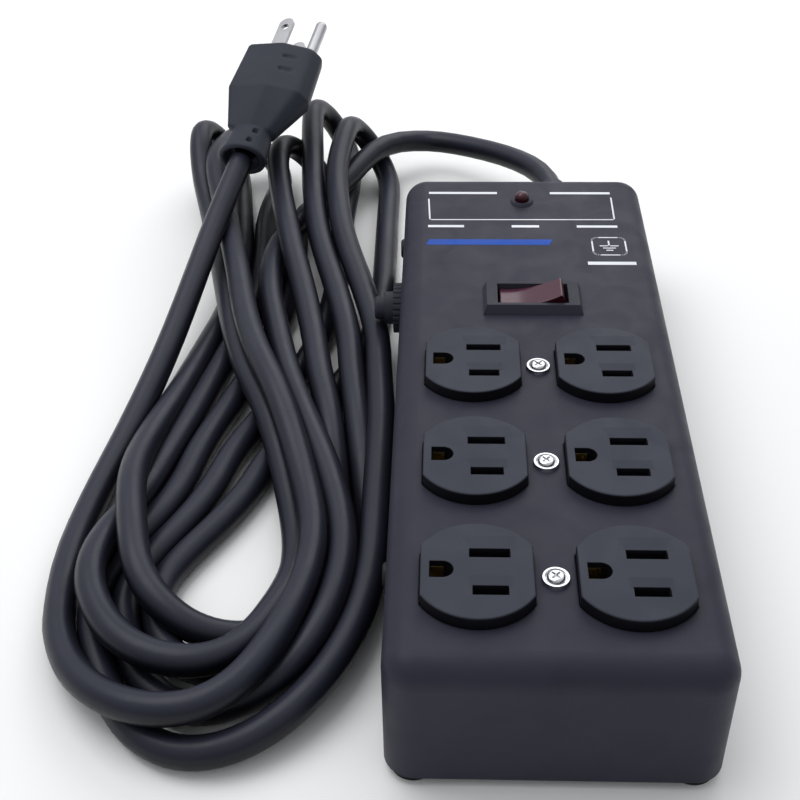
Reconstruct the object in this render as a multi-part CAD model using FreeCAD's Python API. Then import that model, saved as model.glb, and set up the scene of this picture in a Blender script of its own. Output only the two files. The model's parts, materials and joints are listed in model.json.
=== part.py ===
"""Six-outlet metal surge protector with a switch, breaker, lamp and a long folded mains lead.

Millimetres. X runs across the case, +Y towards the end where the lead leaves, +Z up. The origin is
on the surface that the feet stand on, under the centre of the case.
"""
import FreeCAD, Part
import math
import os

V = FreeCAD.Vector

# Case: a drawn steel cover over a flat base tray
CASE_W = 85.0
CASE_L = 236.5
CASE_H = 39.7
FOOT_H = 3.0
WALL = 1.2
CORNER_R = 8.0
EDGE_R = 7.0
FIT_GAP = 0.15
CASE_TOP = FOOT_H + CASE_H
CASE_BACK = CASE_L / 2
CASE_SIDE = CASE_W / 2
PLATE_TOP = FOOT_H + WALL

# Feet and case screws
FOOT_R = 6.35
FOOT_INSET = 7.5
FOOT_RECESS_R = 3.6
FOOT_RECESS = 1.7
FOOT_SCREW_R = 1.5
SIDE_SCREW_Y = (-67.0, 100.0)
SIDE_SCREW_Z = 22.0
SIDE_SCREW_R = 1.7
SIDE_HEAD_R = 3.5
SIDE_HEAD_H = 1.7
TAB_W = 16.0
TAB_TOP = 28.0
GROUND_STUD = (30.0, 78.0)

# Duplex receptacles, turned so that both outlets of a pair lie across the case
ROWS = ("front", "middle", "back")
ROW_PITCH = 43.7
FIRST_ROW_Y = -88.3
OUTLET_X = 19.45
FACE_R = 16.45
FACE_FLAT = 14.05
FACE_RISE = 3.5
FACE_PLATE = (66.0, 33.4, 2.2)
BODY_SIZE = (64.0, 32.6, 22.0)
BODY_WALL = 2.0
SLOT_DX = 3.2
SLOT_DY = 6.35
SLOT_W = 2.2
LINE_SLOT_L = 8.4
NEUTRAL_SLOT_L = 9.8
MOUTH_W = 3.6
MOUTH_GROW = 0.5
MOUTH_DY = -0.4
MOUTH_DEPTH = 1.4
SCOOP_DEPTH = 0.4
LINE_SCOOP = (3.0, 2.6)
NEUTRAL_SCOOP = (4.2, 4.2)
GROUND_DX = -9.0
GROUND_R = 2.8
STRIP_T = 0.8
LEAF_T = 0.6
LEAF_H = 13.0
RIVET_X = 29.5
RIVET_Y = 13.5
CUP_R = 3.7
CUP_BORE = 2.85
CUP_H = 1.2
CUP_FLOOR = 0.35
SCREW_HEAD = (2.35, 1.5)
PLATE_Z1 = CASE_TOP - WALL - 0.05
PLATE_Z0 = PLATE_Z1 - FACE_PLATE[2]
BODY_Z1 = PLATE_Z0
BODY_Z0 = BODY_Z1 - BODY_SIZE[2]
TAB_REACH = 2.9
STRIP_Z = BODY_Z0 + BODY_WALL + 0.1
STRAP_TOP = BODY_Z1 - 1.0
GROUND_LEAF_X = (-2.6, 1.8)
GROUND_LEAF_Y = (2.85, 3.25)
GROUND_LEAF_TOP = CASE_TOP + FACE_RISE - 2.05

# Lit rocker switch
SWITCH_Y = 35.0
BEZEL = (31.5, 16.0)
BEZEL_TOP = (29.3, 13.4)
BEZEL_H = 3.0
HOUSING = (27.8, 12.4, 18.0)
ROCKER_HALF = 9.9
ROCKER_TIP = 3.5
ROCKER_W = 10.4
ROCKER_OPEN = (22.4, 10.9)
ROCKER_TILT = 13.0
PIVOT_Z = CASE_TOP + 0.1
PIN_R = 1.5
PLUNGER_L = 11.0
LEVER_Z = PIVOT_Z - 11.6
LEVER_TILT = 6.5
TERMINAL_X = 8.0
TERMINAL_BOTTOM = 15.0

# Push-to-reset breaker on the left wall
BREAKER_Y = 60.5
BREAKER_Z = 22.5
BREAKER_BODY = (30.0, 17.0, 24.0)
BUSHING_R = 5.6
BUSHING_L = 6.0
BUTTON_R = 4.0
BUTTON_GAP = 0.075
BUTTON_OUT = 3.6
NUT_R = 8.6
NUT_T = 3.0
NUT_TEETH = 26

# Indicator lamp
LAMP_X = -0.8
LAMP_Y = 98.3
LAMP_R = 2.5
COLLAR_R = 4.1
COLLAR_H = 1.0

# Filter board
BOARD = (-35.0, 5.0, 78.0, 110.0)
BOARD_Z = 9.2
BOARD_T = 1.6
BOARD_TOP = BOARD_Z + BOARD_T
CHOKE_AT = (-8.5, 90.0)
CHOKE_R = 8.6
CHOKE_BORE = 4.6
CHOKE_H = 7.0
CHOKE_Z = BOARD_TOP + 1.4

# Lead: entry, jacket and wires
CORD_D = 9.0
ENTRY_X = 14.0
ENTRY_Z = 20.0
RELIEF_L = 26.0
RELIEF_R = 7.4
RELIEF_TIP_R = 5.6
RELIEF_FLANGE_R = 9.2
RELIEF_FLANGE_T = 3.0
WIRE_R = 1.4
EXIT_Y = CASE_BACK + RELIEF_FLANGE_T + RELIEF_L
TAIL_Y = 104.0

# Wires inside the case, each a route of points
BUS_X = BODY_SIZE[0] / 2 + TAB_REACH + WIRE_R + 0.05
BUS_END_Y = FIRST_ROW_Y - 8
LINE_Z = STRIP_Z + 9 - STRIP_T / 2
GROUND_Z = STRAP_TOP - STRIP_T / 2

WIRE_ROUTES = {
    "line_wires": [
        [
            (ENTRY_X + 1.6, TAIL_Y, ENTRY_Z + 1.8), (ENTRY_X + 1.6, 96, ENTRY_Z + 1.8), (15, 84, 24),
            (13, 72, 24), (5, 65.5, 22.5), (-3.1, 65.5, 22.5),
        ],
        [
            (-3.1, 55.5, 22.5), (2, 55.5, 22.5), (6, 51, 21), (4, 45.5, 19), (-2, SWITCH_Y + 8.2, 17.5),
            (-TERMINAL_X, SWITCH_Y + 8.2, 17.5), (-TERMINAL_X, SWITCH_Y + 3.2, 17.5),
        ],
        [
            (0, SWITCH_Y - 3.2, 17.5), (0, SWITCH_Y - 8, 17.5), (10, 22.5, 12), (27, 24, 12),
            (BUS_X, 20, 20), (BUS_X, 8, LINE_Z),
            (BUS_X, BUS_END_Y, LINE_Z),
        ],
    ],
    "neutral_wire": [
        [
            (ENTRY_X - 1.6, TAIL_Y, ENTRY_Z + 1.5), (ENTRY_X - 1.6, 97, ENTRY_Z + 1.5),
            (10, 76, 10), (0, 60, 6.4), (-20, 45, 6.4), (-33, 28, 10),
            (-BUS_X, 13, LINE_Z), (-BUS_X, BUS_END_Y, LINE_Z),
        ],
    ],
    "ground_wires": [
        [
            (ENTRY_X + 0.2, TAIL_Y, ENTRY_Z - 2.6), (ENTRY_X + 0.2, 99, ENTRY_Z - 2.6), (21, 95, 10),
            (29, 94, 7.5), (30, 90.2, 6.6),
        ],
        [
            (30, 90.2, 9.5), (35.5, 84, 13), (36.3, 62, 24),
            (BUS_X, 30, GROUND_Z), (BUS_X, BUS_END_Y, GROUND_Z),
        ],
    ],
}

# Lead outside the case: the stretch from the case to the hank, and from the hank to the plug
ARCH_ROUTE = [
    (14.0, EXIT_Y, 20.0),
    (14.0, 170.0, 20.0),
    (3.0, 195.0, 11.0),
    (-24.0, 207.0, 6.0),
    (-51.0, 190.0, 7.0),
    (-70.0, 160.0, 9.0),
]
PLUG_ROUTE = [
    (-107.0, 140.0, 37.0),
    (-113.16, 114.33, 27.65),
    (-117.5, 84.0, 20.0),
    (-122.5, 50.0, 13.0),
    (-129.0, 15.0, 8.0),
    (-135.5, -18.0, 4.8),
    (-138.0, -46.0, 4.7),
]

# Hank of folded turns, as the block of space that it fills
HANK_LAYER = 9.2
HANK_OUTLINE = [
    (-134.0, -46.0), (-127.0, 10.0), (-121.0, 60.0), (-126.0, 110.0), (-138.0, 160.0),
    (-138.0, 190.0), (-128.0, 204.0), (-96.0, 214.0), (-68.0, 210.0), (-50.0, 184.0),
    (-46.0, 150.0), (-47.5, 90.0), (-44.0, 50.0), (-44.5, -50.0), (-52.0, -88.0),
    (-70.0, -114.0), (-90.0, -122.0), (-115.0, -112.0), (-134.0, -92.0), (-143.5, -60.0),
    (-143.5, -46.0),
]
HANK_EYE = [
    (-80.0, -14.0), (-74.0, -34.0), (-77.0, -66.0), (-87.0, -82.0), (-101.0, -70.0),
    (-104.0, -50.0),
]
HANK_MIDDLE = [
    (-131.0, -80.0), (-131.0, -46.0), (-109.0, 60.0), (-110.0, 110.0), (-132.0, 160.0),
    (-132.0, 190.0), (-66.0, 207.0), (-60.0, 120.0), (-57.0, 40.0), (-47.0, 10.0),
    (-47.0, -50.0), (-62.0, -95.0), (-90.0, -113.0), (-115.0, -103.0),
]
HANK_TOP = [
    (-84.0, 178.0), (-84.0, 212.0), (-66.0, 205.0), (-61.0, 178.0), (-62.0, 120.0),
    (-84.0, 120.0),
]

# Moulded plug
PLUG_BASE = V(-107.0, 140.0, 37.0)
PLUG_AXIS = V(0.220, 0.9166, 0.3338)
PLUG_ROLL = math.radians(12.5)
PLUG_COLLAR_L = 13.0
PLUG_TAPER_L = 17.5
PLUG_BODY_L = 24.5
PLUG_FRONT = PLUG_COLLAR_L + PLUG_TAPER_L + PLUG_BODY_L
PLUG_SECTION = [
    (-12.0, -11.0), (4.5, -10.5), (17.0, -5.5), (19.5, 0.0), (17.0, 5.5), (4.5, 10.5), (-12.0, 11.0),
]
BLADE = (17.6, 6.35, 1.5)
BLADE_GAP = 12.7
GROUND_PIN_R = 2.38
GROUND_PIN_L = 21.0
GROUND_PIN_SHANK_R = 1.9
GROUND_PIN_SHOULDER = 0.5
GROUND_PIN_OFFSET = 11.9


def save(name, shape):
    """Write one sub-part."""
    shape.exportStep(os.path.join("parts", name + ".step"))


def block(x0, x1, y0, y1, z0, z1):
    """Box between two corners."""
    return Part.makeBox(x1 - x0, y1 - y0, z1 - z0, V(x0, y0, z0))


def plate(size, centre_x, centre_y, z0):
    """Box of (x, y, z) size, centred in plan and standing on z0."""
    w, l, h = size
    return block(centre_x - w / 2, centre_x + w / 2, centre_y - l / 2, centre_y + l / 2, z0, z0 + h)


def rod(start, axis, radius, length):
    """Cylinder from start along axis."""
    return Part.makeCylinder(radius, length, V(*start), V(*axis))


def edges_where(shape, test):
    """Edges whose two end points both pass a test."""
    return [e for e in shape.Edges if all(test(v.Point) for v in e.Vertexes)]


def upright(shape, test=lambda p: True):
    """Vertical straight edges of a block."""
    found = []
    for edge in edges_where(shape, test):
        a = edge.Vertexes[0].Point
        b = edge.Vertexes[-1].Point
        if abs(a.x - b.x) < 1e-6 and abs(a.y - b.y) < 1e-6 and abs(a.z - b.z) > 1e-3:
            found.append(edge)
    return found


def rounded_block(w, l, z0, z1, corner_r, edge_r):
    """Block with rounded plan corners and a rolled top edge."""
    shape = block(-w / 2, w / 2, -l / 2, l / 2, z0, z1)
    shape = shape.makeFillet(corner_r, upright(shape))
    top = edges_where(shape, lambda p: abs(p.z - z1) < 1e-6)
    return shape.makeFillet(edge_r, top)


def loft(lower, upper):
    """Solid between two closed outlines given as lists of points."""
    wires = [Part.makePolygon([V(*p) for p in ring] + [V(*ring[0])]) for ring in (lower, upper)]
    return Part.makeLoft(wires, True, True)


def rectangle(w, l, cx, cy, z):
    """Corner points of a level rectangle."""
    return [
        (cx - w / 2, cy - l / 2, z),
        (cx + w / 2, cy - l / 2, z),
        (cx + w / 2, cy + l / 2, z),
        (cx - w / 2, cy + l / 2, z),
    ]


def prism(points, z0, z1):
    """Upright prism on a plan outline."""
    wire = Part.makePolygon([V(x, y, z0) for x, y in points + points[:1]])
    return Part.Face(wire).extrude(V(0, 0, z1 - z0))


def filleted_route(points):
    """Straight runs joined by arcs that are as large as the runs allow."""
    pts = [V(*p) for p in points]
    edges = []
    radii = []
    at = pts[0]
    for i in range(1, len(pts) - 1):
        a = pts[i - 1] - pts[i]
        b = pts[i + 1] - pts[i]
        turn = math.pi - a.getAngle(b)
        cut = 0.45 * min(a.Length, b.Length)
        radius = cut / math.tan(turn / 2)
        radii.append(radius)
        first = pts[i] + a.normalize() * cut
        last = pts[i] + b.normalize() * cut
        inward = (a + b).normalize()
        middle = pts[i] + inward * (radius / math.cos(turn / 2) - radius)
        edges.append(Part.LineSegment(at, first).toShape())
        edges.append(Part.Arc(first, middle, last).toShape())
        at = last
    edges.append(Part.LineSegment(at, pts[-1]).toShape())
    return Part.Wire(edges), radii


def tube(name, points, radius):
    """Round tube along a route, with its radii and volume printed."""
    path, radii = filleted_route(points)
    direction = V(*points[1]) - V(*points[0])
    ring = Part.Wire(Part.Circle(V(*points[0]), direction, radius).toShape())
    shape = path.makePipeShell([ring], True, False)
    ratio = shape.Volume / (math.pi * radius**2 * path.Length)
    bends = [round(r, 1) for r in radii]
    print(f"{name}: length {path.Length:.1f}, radii {bends}, volume ratio {ratio:.4f}")
    return shape


def foot_places():
    """Centres of the four feet in plan."""
    x = CASE_SIDE - FOOT_INSET
    y = CASE_BACK - FOOT_INSET
    return [(sx * x, sy * y) for sx in (-1, 1) for sy in (-1, 1)]


def row_y(index):
    """Y of a row of outlets."""
    return FIRST_ROW_Y + ROW_PITCH * index


def face_profile(cx, cy, grow, z0, z1):
    """Round outlet face with two flats."""
    disc = rod((cx, cy, z0), (0, 0, 1), FACE_R + grow, z1 - z0)
    return disc.common(plate((2 * (FACE_FLAT + grow), 4 * FACE_R, z1 - z0), cx, cy, z0))


def top_cover():
    """Drawn steel cover with every opening cut."""
    shape = rounded_block(CASE_W, CASE_L, FOOT_H, CASE_TOP, CORNER_R, EDGE_R)
    inner = rounded_block(
        CASE_W - 2 * WALL, CASE_L - 2 * WALL, FOOT_H - 1, CASE_TOP - WALL, CORNER_R - WALL, EDGE_R - WALL
    )
    shape = shape.cut(inner)
    z0 = CASE_TOP - 2 * WALL
    z1 = CASE_TOP + 1
    cuts = []
    for index in range(len(ROWS)):
        y = row_y(index)
        cuts += [face_profile(sx * OUTLET_X, y, 0.25, z0, z1) for sx in (-1, 1)]
        cuts.append(rod((0, y, z0), (0, 0, 1), 1.9, z1 - z0))
    cuts.append(plate((HOUSING[0] + 0.3, HOUSING[1] + 0.3, z1 - z0), 0, SWITCH_Y, z0))
    cuts.append(rod((LAMP_X, LAMP_Y, z0), (0, 0, 1), 3.15, z1 - z0))
    cuts.append(rod((-CASE_SIDE - 1, BREAKER_Y, BREAKER_Z), (1, 0, 0), BUSHING_R + 0.1, 2 * WALL))
    cuts.append(rod((ENTRY_X, CASE_BACK + 1, ENTRY_Z), (0, -1, 0), RELIEF_R + 0.1, 2 * WALL))
    for y in SIDE_SCREW_Y:
        cuts.append(rod((-CASE_SIDE - 1, y, SIDE_SCREW_Z), (1, 0, 0), SIDE_SCREW_R + 0.1, CASE_W + 2))
    return shape.cut(cuts)


def base_plate():
    """Flat tray inside the cover's rim, with four upstanding screw tabs and a ground stud."""
    gap = WALL + FIT_GAP
    shape = block(-CASE_SIDE + gap, CASE_SIDE - gap, -CASE_BACK + gap, CASE_BACK - gap, FOOT_H, PLATE_TOP)
    shape = shape.makeFillet(CORNER_R - gap, upright(shape))
    outer = CASE_SIDE - gap
    for y in SIDE_SCREW_Y:
        for sx in (-1, 1):
            x0, x1 = sorted((sx * outer, sx * (outer - WALL)))
            shape = shape.fuse(block(x0, x1, y - TAB_W / 2, y + TAB_W / 2, PLATE_TOP - 0.1, TAB_TOP))
    shape = shape.fuse(rod((GROUND_STUD[0], GROUND_STUD[1], FOOT_H + 0.2), (0, 0, 1), 1.9, 9.0))
    cuts = [rod((x, y, 0), (0, 0, 1), FOOT_SCREW_R + 0.02, 10) for x, y in foot_places()]
    for y in SIDE_SCREW_Y:
        cuts.append(rod((-CASE_SIDE, y, SIDE_SCREW_Z), (1, 0, 0), SIDE_SCREW_R + 0.02, CASE_W))
    return shape.removeSplitter().cut(cuts)


def rubber_foot(x, y):
    """Round rubber foot with a recessed screw hole."""
    shape = Part.makeCone(FOOT_R - 0.4, FOOT_R, FOOT_H, V(x, y, 0))
    shape = shape.cut(rod((x, y, -0.1), (0, 0, 1), FOOT_RECESS_R, FOOT_RECESS + 0.1))
    return shape.cut(rod((x, y, 0), (0, 0, 1), FOOT_SCREW_R + 0.1, FOOT_H + 1))


def pan_head(radius, height):
    """Round screw head standing on z=0 with a cross recess in its top."""
    shape = Part.makeCylinder(radius, height)
    rim = edges_where(shape, lambda p: abs(p.z - height) < 1e-6)
    shape = shape.makeFillet(height * 0.6, [e for e in rim if len(e.Vertexes) == 1])
    for angle in (45, 135):
        arm = block(-radius * 0.6, radius * 0.6, -radius * 0.13, radius * 0.13, height * 0.45, height + 1)
        arm.rotate(V(0, 0, 0), V(0, 0, 1), angle)
        shape = shape.cut(arm)
    return shape


def screw(radius, length, head_r, head_h):
    """Machine screw with its head above z=0 and its shank below."""
    shank = rod((0, 0, 0.1), (0, 0, -1), radius, length + 0.1)
    return pan_head(head_r, head_h).fuse(shank)


def placed(shape, at, axis):
    """Copy of a shape turned from +Z to an axis and moved."""
    copy = shape.copy()
    copy.Placement = FreeCAD.Placement(V(*at), FreeCAD.Rotation(V(0, 0, 1), V(*axis)))
    return copy


def foot_screws():
    """Four screws up through the feet into the base plate."""
    one = screw(FOOT_SCREW_R, 6.0, 3.0, 1.2)
    return Part.makeCompound([placed(one, (x, y, FOOT_RECESS), (0, 0, -1)) for x, y in foot_places()])


def side_screws():
    """Four screws through the cover's side walls into the tray's tabs."""
    one = screw(SIDE_SCREW_R, 6.5, SIDE_HEAD_R, SIDE_HEAD_H)
    places = [(sx, y) for sx in (-1, 1) for y in SIDE_SCREW_Y]
    screws = [placed(one, (sx * CASE_SIDE, y, SIDE_SCREW_Z), (sx, 0, 0)) for sx, y in places]
    return Part.makeCompound(screws)


def blade_slot(cx, cy, length, z0, z1, scoop):
    """Blade slot with a wider mouth, and a shallow scoop behind it."""
    slot = plate((length, SLOT_W, z1 - z0), cx, cy, z0)
    top = CASE_TOP + FACE_RISE
    throat = rectangle(length, SLOT_W, cx, cy, top - MOUTH_DEPTH)
    lips = rectangle(length + MOUTH_GROW, MOUTH_W, cx, cy + MOUTH_DY, top + 0.02)
    reach, flare = scoop
    back = cy + MOUTH_DY + MOUTH_W / 2
    low = rectangle(length, 1.0, cx, back - 0.5, top - SCOOP_DEPTH)
    high = rectangle(length + flare, reach + 1.0, cx, back - 0.5 + reach / 2, top + 0.02)
    return slot.fuse([loft(throat, lips), loft(low, high)])


def ground_leaf_block(cx, y, grow, z0, z1):
    """Block that a ground contact's upright leaf fills, or with a margin, the pocket that it stands in."""
    x0, x1 = GROUND_LEAF_X
    y0, y1 = GROUND_LEAF_Y
    return block(cx + x0 - grow, cx + x1 + grow, y + y0 - grow, y + y1 + grow, z0, z1)


def ground_hole(cx, cy, z0, z1):
    """D-shaped ground opening, flat on the side away from the blades."""
    round_end = rod((cx + 0.4, cy, z0), (0, 0, 1), GROUND_R, z1 - z0)
    flat_end = block(cx - GROUND_R, cx + 0.4, cy - GROUND_R, cy + GROUND_R, z0, z1)
    return round_end.common(block(cx, cx + 9, cy - 9, cy + 9, z0, z1)).fuse(flat_end)


def receptacle_face(y):
    """Moulded front with two raised outlet faces."""
    shape = plate(FACE_PLATE, 0, y, PLATE_Z0)
    top = CASE_TOP + FACE_RISE
    cuts = [rod((0, y, PLATE_Z0 - 1), (0, 0, 1), 1.9, 9)]
    for sx in (-1, 1):
        cx = sx * OUTLET_X
        boss = face_profile(cx, y, 0, PLATE_Z1 - 0.1, top)
        rim = edges_where(boss, lambda p: abs(p.z - top) < 1e-6)
        shape = shape.fuse(boss.makeFillet(0.5, rim))
        slot_x = cx + SLOT_DX
        cuts.append(blade_slot(slot_x, y - SLOT_DY, LINE_SLOT_L, PLATE_Z0 - 1, top + 1, LINE_SCOOP))
        cuts.append(blade_slot(slot_x, y + SLOT_DY, NEUTRAL_SLOT_L, PLATE_Z0 - 1, top + 1, NEUTRAL_SCOOP))
        cuts.append(ground_hole(cx + GROUND_DX, y, PLATE_Z0 - 1, top + 1))
        cuts.append(ground_leaf_block(cx + GROUND_DX, y, 0.08, PLATE_Z0 - 1, GROUND_LEAF_TOP + 0.1))
        cuts.append(rod((sx * RIVET_X, y + RIVET_Y, PLATE_Z0 - 1), (0, 0, 1), 1.3, 4))
        cuts.append(rod((sx * RIVET_X, y - RIVET_Y, PLATE_Z0 - 1), (0, 0, 1), 1.3, 4))
    return shape.cut(cuts)


def receptacle_body(y):
    """Rear moulding with one channel for each contact strip."""
    w, l, h = BODY_SIZE
    shape = plate(BODY_SIZE, 0, y, BODY_Z0)
    floor = BODY_Z0 + BODY_WALL
    inner = w / 2 - BODY_WALL
    cuts = []
    for sy in (-1, 1):
        y0, y1 = sorted((y + sy * 3.6, y + sy * 10.4))
        cuts.append(block(-inner, inner, y0, y1, floor, BODY_Z1 + 1))
    cuts.append(block(0.6 - w / 2, inner, y - 2.9, y + 2.9, floor, BODY_Z1 + 1))
    cuts.append(block(inner - 1, w, y - SLOT_DY - 2.2, y - SLOT_DY + 2.2, BODY_Z0 + 4, BODY_Z1 + 1))
    cuts.append(block(-w, 1 - inner, y + SLOT_DY - 2.2, y + SLOT_DY + 2.2, BODY_Z0 + 4, BODY_Z1 + 1))
    cuts.append(block(inner - 1, w, y - 2.9, y + 2.9, BODY_Z0 + 12, BODY_Z1 + 1))
    for sx in (-1, 1):
        cuts.append(ground_leaf_block(sx * OUTLET_X + GROUND_DX, y, 0.08, STRAP_TOP - 1, BODY_Z1 + 1))
        for sy in (-1, 1):
            cuts.append(rod((sx * RIVET_X, y + sy * RIVET_Y, BODY_Z0 - 1), (0, 0, 1), 1.3, h + 2))
    return shape.cut(cuts)


def receptacle_rivets():
    """Hollow-looking rivets that hold each front to its rear moulding."""
    rivets = []
    for index in range(len(ROWS)):
        for sx in (-1, 1):
            for sy in (-1, 1):
                at = (sx * RIVET_X, row_y(index) + sy * RIVET_Y)
                shank = rod((*at, BODY_Z0), (0, 0, 1), 1.28, PLATE_Z1 - BODY_Z0)
                head = rod((*at, BODY_Z0 - 0.9), (0, 0, 1), 2.2, 0.9)
                rivets.append(shank.fuse(head))
    return Part.makeCompound(rivets)


def blade_clip(cx, cy, length, z0):
    """Pair of spring leaves that grip one blade."""
    leaves = []
    for sy in (-1, 1):
        y0, y1 = sorted((cy + sy * 0.65, cy + sy * (0.65 + LEAF_T)))
        leaves.append(block(cx - length / 2, cx + length / 2, y0, y1, z0, z0 + LEAF_H))
        foot0, foot1 = sorted((cy + sy * 0.65, cy + sy * 2.6))
        leaves.append(block(cx - length / 2, cx + length / 2, foot0, foot1, z0, z0 + STRIP_T))
    return leaves


def power_contact(y, side):
    """Brass strip with a clip under each outlet and a tab out of one end, side -1 line, +1 neutral."""
    cy = y + side * SLOT_DY
    z0 = STRIP_Z
    reach = BODY_SIZE[0] / 2 - BODY_WALL - 0.4
    strip = block(-reach, reach, cy - 2.6, cy + 2.6, z0, z0 + STRIP_T)
    end = -side * reach
    riser0, riser1 = sorted((end, end + side * STRIP_T))
    pieces = [block(riser0, riser1, cy - 2, cy + 2, z0, z0 + 9)]
    tab0, tab1 = sorted((end, -side * (BODY_SIZE[0] / 2 + TAB_REACH)))
    pieces.append(block(tab0, tab1, cy - 2, cy + 2, z0 + 9 - STRIP_T, z0 + 9))
    for sx in (-1, 1):
        pieces += blade_clip(sx * OUTLET_X + SLOT_DX, cy, 8.0, z0)
    return strip.fuse(pieces).removeSplitter()


def ground_strap(y):
    """Brass strap with a tube and a leaf at each ground opening, a threaded centre and an end tab."""
    z1 = STRAP_TOP
    z0 = z1 - STRIP_T
    reach = BODY_SIZE[0] / 2
    shape = block(-reach + 3, reach + TAB_REACH, y - 2.4, y + 2.4, z0, z1)
    pieces = [rod((0, y, z0 - 4), (0, 0, 1), 2.4, 4.5)]
    cuts = [rod((0, y, z0 - 6), (0, 0, 1), 1.62, 12)]
    leaves = []
    for sx in (-1, 1):
        cx = sx * OUTLET_X + GROUND_DX
        pieces.append(rod((cx, y, z0 - 12), (0, 0, 1), 2.85, 12.9))
        cuts.append(rod((cx, y, z0 - 14), (0, 0, 1), 2.4, 20))
        cuts.append(block(cx - 0.5, cx + 0.5, y, y + 4, z0 - 14, z0 - 1))
        leaves.append(ground_leaf_block(cx, y, 0, z0, GROUND_LEAF_TOP))
        x0, x1 = GROUND_LEAF_X
        leaves.append(block(cx + x0, cx + x1, y + 2.4, y + GROUND_LEAF_Y[1], z0, z1))
    shape = shape.fuse(pieces).removeSplitter()
    return shape.cut(cuts).fuse(leaves).removeSplitter()


def receptacle_screws():
    """Screw in the middle of each pair, and the cup washer under its head."""
    pieces = []
    for index in range(len(ROWS)):
        at = V(0, row_y(index), CASE_TOP)
        floor = at + V(0, 0, CUP_FLOOR)
        pieces.append(placed(screw(1.6, 12.0, *SCREW_HEAD), floor, (0, 0, 1)))
        seat = Part.makeCylinder(CUP_BORE, CUP_H, floor)
        hole = Part.makeCylinder(1.9, 3.0, at - V(0, 0, 1))
        pieces.append(Part.makeCone(CUP_R, CUP_R - 0.3, CUP_H, at).cut([seat, hole]))
    return Part.makeCompound(pieces)


def switch_housing():
    """Snap-in switch housing with a bevelled bezel."""
    top = CASE_TOP + BEZEL_H
    rim = loft(rectangle(*BEZEL, 0, SWITCH_Y, CASE_TOP), rectangle(*BEZEL_TOP, 0, SWITCH_Y, top))
    shape = rim.fuse(plate(HOUSING, 0, SWITCH_Y, CASE_TOP - HOUSING[2] + 0.1))
    floor = CASE_TOP - HOUSING[2] + 2
    w, l = ROCKER_OPEN
    cuts = [plate((w, l, 40), 0, SWITCH_Y, PIVOT_Z - 9)]
    cuts.append(plate((w + 1.6, l, PIVOT_Z - 4 - floor), 0, SWITCH_Y, floor))
    cuts.append(rod((0, SWITCH_Y - 6.15, PIVOT_Z), (0, 1, 0), PIN_R + 0.05, 12.3))
    for x in (-TERMINAL_X, 0, TERMINAL_X):
        cuts.append(plate((0.9, 6.4, 30), x, SWITCH_Y, TERMINAL_BOTTOM))
    return shape.cut(cuts)


def rocker_outline():
    """Closed side outline of the rocker about its pivot, in X and Z, before it is tilted."""
    half = ROCKER_HALF
    tip = ROCKER_TIP
    radius = math.hypot(half, tip)
    low = -1.8
    low_x = math.sqrt(radius**2 - low**2)
    left_top, right_top = V(-half, 0, tip), V(half, 0, tip)
    left_low, right_low = V(-low_x, 0, low), V(low_x, 0, low)
    edges = [
        Part.Arc(left_top, V(0, 0, tip - 1.4), right_top).toShape(),
        Part.Arc(right_top, V(radius, 0, 0), right_low).toShape(),
        Part.LineSegment(right_low, V(5, 0, -3.4)).toShape(),
        Part.LineSegment(V(5, 0, -3.4), V(-5, 0, -3.4)).toShape(),
        Part.LineSegment(V(-5, 0, -3.4), left_low).toShape(),
        Part.Arc(left_low, V(-radius, 0, 0), left_top).toShape(),
    ]
    return Part.Wire(edges)


def switch_rocker():
    """Translucent rocker with its two pivot pins, right end up."""
    shape = Part.Face(rocker_outline()).extrude(V(0, ROCKER_W, 0))
    shape.translate(V(0, -ROCKER_W / 2, 0))
    top = edges_where(shape, lambda p: p.z > ROCKER_TIP - 0.1)
    shape = shape.makeFillet(0.45, top)
    shape = shape.fuse(rod((0, -6.1, 0), (0, 1, 0), PIN_R, 12.2))
    shape = shape.cut(rod((0, 0, -6), (0, 0, 1), 1.6, 6.5))
    shape.rotate(V(0, 0, 0), V(0, 1, 0), -ROCKER_TILT)
    shape.translate(V(0, SWITCH_Y, PIVOT_Z))
    return shape


def switch_plunger():
    """Sprung plunger under the rocker that rolls along the contact lever."""
    shape = rod((0, 0, 0.4), (0, 0, -1), 1.55, PLUNGER_L - 1.15)
    shape = shape.fuse(Part.makeSphere(1.55, V(0, 0, 1.55 - PLUNGER_L)))
    shape.rotate(V(0, 0, 0), V(0, 1, 0), -ROCKER_TILT)
    shape.translate(V(0, SWITCH_Y, PIVOT_Z))
    return shape


def switch_lever():
    """See-saw contact lever."""
    shape = block(-7.6, 7.6, -2, 2, -0.35, 0.35)
    for x in (-7.0, 7.0):
        shape = shape.fuse(rod((x, 0, -0.6), (0, 0, 1), 1.3, 0.5))
    shape.rotate(V(0, 0, 0), V(0, 1, 0), LEVER_TILT)
    shape.translate(V(0, SWITCH_Y, LEVER_Z))
    return shape


def switch_terminals():
    """Three blade terminals through the housing's floor."""
    tops = {-TERMINAL_X: LEVER_Z - 2.2, 0: LEVER_Z - 0.5, TERMINAL_X: LEVER_Z - 2.2}
    tabs = []
    for x, top in tops.items():
        tabs.append(plate((0.8, 6.3, top - TERMINAL_BOTTOM), x, SWITCH_Y, TERMINAL_BOTTOM))
    return Part.makeCompound(tabs)


def switch_lamp():
    """Neon tube under the rocker's left half."""
    at = (-6.0, SWITCH_Y - 3.4, PIVOT_Z - 8.2)
    shape = rod(at, (0, 1, 0), 1.5, 5.2)
    return shape.fuse(Part.makeSphere(1.5, V(at[0], at[1] + 5.2, at[2])))


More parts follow.
